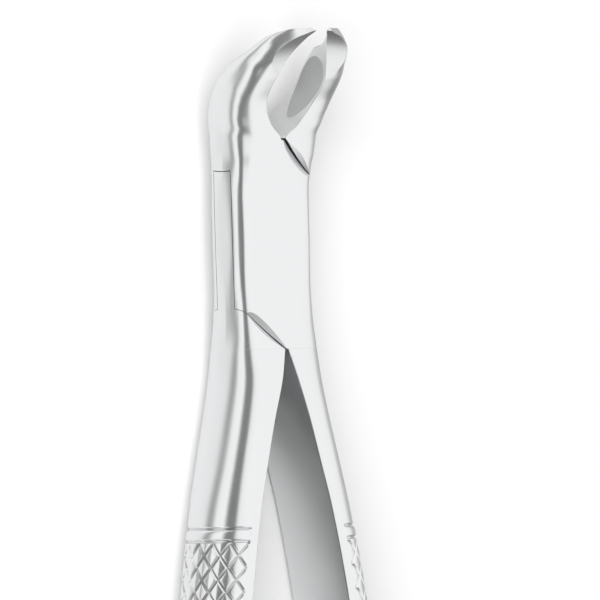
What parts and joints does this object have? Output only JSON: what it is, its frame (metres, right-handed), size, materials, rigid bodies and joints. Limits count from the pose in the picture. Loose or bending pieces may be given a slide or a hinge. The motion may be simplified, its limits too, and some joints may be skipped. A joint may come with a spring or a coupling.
{
  "type": "dental extraction forceps",
  "caption": "Hand forceps with angled beaks, a lap-through box joint and bowed handles that end in smooth rounded pads, for gripping a lower molar.",
  "frame": {"origin": "where the hinge axis meets the flat underside of the joint", "axes": "+Y along the instrument from the handles to the beaks, +Z along the hinge axis towards the side that the beaks bend to, +X across the jaws"},
  "size_m": [0.0318, 0.1694, 0.0227],
  "materials": {
    "limb_steel": "satin stainless steel, polished on the joint and beaks",
    "pin_steel": "ground flush with the joint, satin"
  },
  "bodies": {
    "box_limb": {"box_half": "limb_steel", "joint_pin": "pin_steel"},
    "tongue_limb": {"tongue_half": "limb_steel"}
  },
  "joints": [
    {"name": "pivot", "type": "hinge", "parent": "box_limb", "child": "tongue_limb", "pos_m": [0, 0, 0.0041], "axis": [0, 0, -1], "range_deg": [-1.5, 25]}
  ]
}
